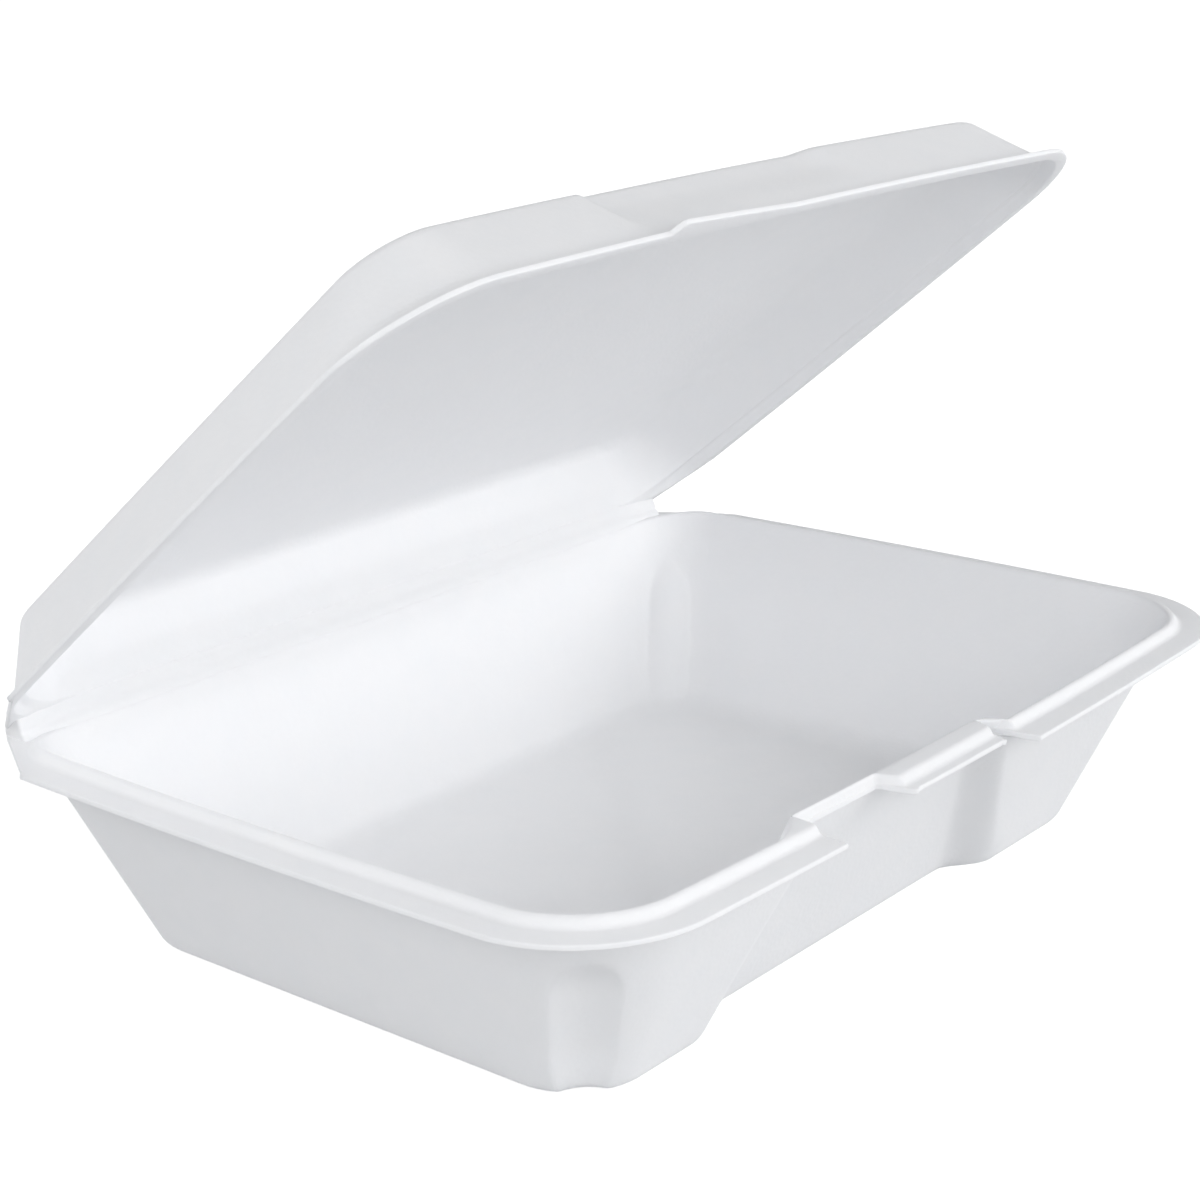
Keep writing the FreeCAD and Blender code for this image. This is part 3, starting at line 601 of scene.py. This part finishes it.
def lid_rings():
    """All rings of the lid, from the middle of its ceiling, round the rim, to the middle of its top."""
    ceiling = LID_TOP - FLOOR_SHEET
    ceiling_edge = lid_wall(ceiling, SHEET)
    top_edge = lid_wall(LID_TOP)
    edge = lid_rim(LID_LOW, LID_MARGIN, LID_REAR, LIP_REACH)
    edge_low = with_ears(edge, -LID_REAR, RIM_HALF - LID_MARGIN, LID_EAR_BACK, LID_EAR_REACH)
    edge_high = edge_low + (0, 0, LID_FLANGE_TOP - LID_LOW)
    rows = shrunk(ceiling_edge, (0.04, 0.22, 0.42, 0.62, 0.84))
    rows.append((ceiling_edge, 6.5, 11))
    rows += [(lid_wall(z, SHEET), 0.0, 1) for z in np.arange(11.0, 4.4, -1.5)]
    rows.append((lowered(lid_wall(LID_STEP + 0.2, SHEET), LID_STEP - LID_LOW - 0.6), 0.5, 4))
    rows.append((lowered(lid_rim(LID_STEP, 5.2, 7.0), LID_STEP - LID_LOW - 0.3), 0.5, 4))
    rows.append((lid_rim(LID_LOW, 3.5, 5.3), 0.4, 4))
    rows.append((edge_low, 0.35, 4))
    rows.append((edge_high, 0.35, 4))
    rows.append((lid_rim(LID_FLANGE_TOP, 2.8, 4.0), 1.0, 5))
    rows += [(lid_wall(z), 0.0, 1) for z in np.arange(3.6, 15.2, 1.4)]
    rows.append((top_edge, 3.8, 11))
    rows += shrunk(top_edge, (0.88, 0.66, 0.44, 0.22, 0.04))
    return stack(rows)


def opened(points):
    """Turns points that are given closed about the crease, to the angle at which the lid stands."""
    c, s = math.cos(OPEN_ANGLE), math.sin(OPEN_ANGLE)
    y = points[..., 1] * c + points[..., 2] * s
    z = points[..., 2] * c - points[..., 1] * s
    return np.stack([points[..., 0], y, z], axis=-1) + CREASE


rings = opened(lid_rings())
lid_skin = skin("lid_skin", rings, rings[0].mean(axis=0), rings[-1].mean(axis=0))
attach(lid_skin, "lid")
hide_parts("lid")

# %% [markdown]
# ## The crease
# The two halves are joined by the sheet itself, crimped thin into a living hinge. It is a closed band along
# the crease whose section runs from the tray's flange, round the fold, to the lid's, and its inside runs
# smoothly from the tray's wall to the lid's. It is shaped once for the lid's open angle and does not follow
# the lid.

# %% Crease band
BAND_HALF = 108.6
BAND_THICK = 1.32
BAND_END = 0.4
NARROW_FROM = 90.0
NARROW_RUN = 14.0
VALLEY = 0.45
VALLEY_PLACE = 0.45
VALLEY_WIDTH = 0.09
BAND_STEPS = ([(-BAND_HALF, 0.3), (-BAND_HALF, 0.75), (BAND_END - BAND_HALF, 1.0)]
              + [(x, 1.0) for x in np.linspace(1 - BAND_HALF, BAND_HALF - 1, 90)]
              + [(BAND_HALF - BAND_END, 1.0), (BAND_HALF, 0.75), (BAND_HALF, 0.3)])


def bow(start, middle, end, count):
    """A quadratic curve: (1 - t)^2 start + 2 t (1 - t) middle + t^2 end."""
    t = np.linspace(0, 1, count)[:, None]
    return (1 - t) ** 2 * start + 2 * t * (1 - t) * middle + t ** 2 * end


def crease_band():
    """Band of foam along the crease. Outside it is a tight fold, and inside it is a shallow valley.

    The fold is a quadratic curve. The inside is a cubic one that leaves the tray's wall and reaches the
    opened lid's wall along their own leans, with a bell-shaped valley across. Near the corners it draws back
    between the two flanges, and the band's ends close in two steps.
    """
    rear, level = CREASE[1], CREASE[2]
    fold = bow(np.array([rear - 3.4, 46.75]), np.array([rear + 0.9, level - 0.3]),
               opened(np.array([0.0, -3.6, 0.75]))[1:], 15)
    along = np.gradient(fold, axis=0)
    along /= np.linalg.norm(along, axis=1, keepdims=True)
    outside = fold + np.stack([along[:, 1], -along[:, 0]], axis=1) * BAND_THICK / 2
    rings = []
    for x, scale in BAND_STEPS:
        narrow = ease((abs(x) - NARROW_FROM) / NARROW_RUN)
        tray_side = mix(np.array([rear - 9.38, 44.0]), np.array([rear - 8.0, 46.6]), narrow)
        tray_lean = tray_side + mix(5.0, 1.0, narrow) * np.array([0.25, 0.968])
        lid_side = mix(np.array([-8.8, 7.0]), np.array([-7.0, 0.9]), narrow)
        lid_lean = lid_side + mix(5.0, 1.0, narrow) * np.array([0.283, -0.959])
        lid_side, lid_lean = (opened(np.array([0.0, y, z]))[1:] for y, z in (lid_side, lid_lean))
        t = np.linspace(0, 1, 31)[:, None]
        inside = ((1 - t) ** 3 * tray_side + 3 * t * (1 - t) ** 2 * tray_lean
                  + 3 * t ** 2 * (1 - t) * lid_lean + t ** 3 * lid_side)
        dip = np.exp(-((t - VALLEY_PLACE) / VALLEY_WIDTH) ** 2)
        inside = inside + VALLEY * dip * np.array([0.87, -0.49])
        section = np.concatenate([outside, inside[::-1]])
        middle = section.mean(axis=0)
        section = middle + (section - middle) * scale
        rings.append(np.column_stack([np.full(len(section), x), section]))
    return np.array(rings)


rings = crease_band()
crease_skin = skin("crease_skin", rings, rings[0].mean(axis=0), rings[-1].mean(axis=0))
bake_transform(crease_skin)

# %% [markdown]
# ## Floor
# A pale floor carries the shadow. More light would bring it up to paper white, but it would burn the foam
# out, so a glow does it that only camera, mirror and clear rays see. It is weaker near the container.

# %% Floor
FLOOR_REACH = 6.0
FLOOR_WHITE = "#C8C9CA"
GLOW_NEAR = {"From Min": 0.12, "To Min": 0.72}
GLOW_FAR = {"From Max": 0.34, "To Max": 1.0}


def seen_directly(tree):
    """One for a camera, glossy or transmission ray, and zero for the rays that light the object."""
    path = node(tree, "ShaderNodeLightPath").outputs
    seen = path["Is Camera Ray"]
    for kind in ("Is Glossy Ray", "Is Transmission Ray"):
        either = node(tree, "ShaderNodeMath", {"operation": "MAXIMUM"})
        tree.links.new(seen, either.inputs[0])
        tree.links.new(path[kind], either.inputs[1])
        seen = either.outputs[0]
    return seen


def floor_paper():
    """Plain pale floor, with a glow that grows with the distance from the container."""
    material, tree = new_material("studio_paper")
    place = node(tree, "ShaderNodeTexCoord").outputs["Object"]
    away = node(tree, "ShaderNodeVectorMath", {"operation": "LENGTH"}, Vector=place)
    paper_white = node(tree, "ShaderNodeMapRange", {**GLOW_NEAR, **GLOW_FAR}, Value=away.outputs["Value"])
    glow = node(tree, "ShaderNodeMath", {"operation": "MULTIPLY"})
    tree.links.new(seen_directly(tree), glow.inputs[0])
    tree.links.new(paper_white.outputs[0], glow.inputs[1])
    paper = node(tree, "ShaderNodeBsdfDiffuse", {"Color": colour(FLOOR_WHITE)})
    light = node(tree, "ShaderNodeEmission", {"Color": (1, 1, 1, 1)}, Strength=glow.outputs[0])
    both = node(tree, "ShaderNodeAddShader")
    tree.links.new(paper.outputs[0], both.inputs[0])
    tree.links.new(light.outputs[0], both.inputs[1])
    node(tree, "ShaderNodeOutputMaterial", Surface=both.outputs[0])
    return material


def flat_square(name, reach, level):
    """A level square with its middle at the origin."""
    mesh = bpy.data.meshes.new(name)
    corners = [(-reach, -reach, level), (reach, -reach, level), (reach, reach, level), (-reach, reach, level)]
    mesh.from_pydata(corners, [], [(0, 1, 2, 3)])
    made = bpy.data.objects.new(name, mesh)
    scene.collection.objects.link(made)
    return made


floor = flat_square("studio_floor", FLOOR_REACH, 0.0)
floor.data.materials.append(floor_paper())
print("floor reach", FLOOR_REACH, "m")

# %% [markdown]
# ## Light
# Product photographs of white foam use broad soft lamps, so that its edges show by gentle shading. Five
# square lamps stand round the container here, at powers that keep the pale surfaces under white. The world
# adds a faint cool light, and looks white itself.

# %% Lamps
def soft_lamp(name, place, aim, width, power):
    """A large square lamp at a place, facing a point."""
    data = bpy.data.lights.new(name, "AREA")
    data.shape = "SQUARE"
    data.size = width
    data.energy = power
    lamp = bpy.data.objects.new(name, data)
    towards = Vector(aim) - Vector(place)
    lamp.matrix_world = Matrix.Translation(place) @ towards.to_track_quat("-Z", "Y").to_matrix().to_4x4()
    scene.collection.objects.link(lamp)


LAMP_AIM = (0, 0, 0.05)
LAMP_WIDTH = 0.9
LAMPS = [
    ("left_lamp", (-1.3, -0.1, 0.6), 6.4),
    ("rear_left_lamp", (-0.9, 0.9, 0.9), 6.0),
    ("front_left_lamp", (-0.8, -1.0, 0.5), 3.0),
    ("front_lamp", (0.1, -1.3, 0.5), 8.2),
    ("front_right_lamp", (0.9, -0.9, 0.6), 6.6),
]
for name, place, power in LAMPS:
    soft_lamp(name, place, LAMP_AIM, LAMP_WIDTH, power)
print("lamps", len(LAMPS), "watts", sum(power for name, place, power in LAMPS))

# %% Surroundings
AMBIENT_TINT = (0.97, 0.985, 1.0, 1)
AMBIENT_POWER = 0.14

world = bpy.data.worlds.new("studio_light")
world.use_nodes = True
scene.world = world
tree = world.node_tree
tree.nodes.clear()
ambient = node(tree, "ShaderNodeBackground", {"Color": AMBIENT_TINT, "Strength": AMBIENT_POWER})
white = node(tree, "ShaderNodeBackground", {"Color": (1, 1, 1, 1), "Strength": 1.0})
shown = node(tree, "ShaderNodeMixShader")
tree.links.new(seen_directly(tree), shown.inputs[0])
tree.links.new(ambient.outputs[0], shown.inputs[1])
tree.links.new(white.outputs[0], shown.inputs[2])
node(tree, "ShaderNodeOutputWorld", Surface=shown.outputs[0])
print("ambient strength", AMBIENT_POWER)
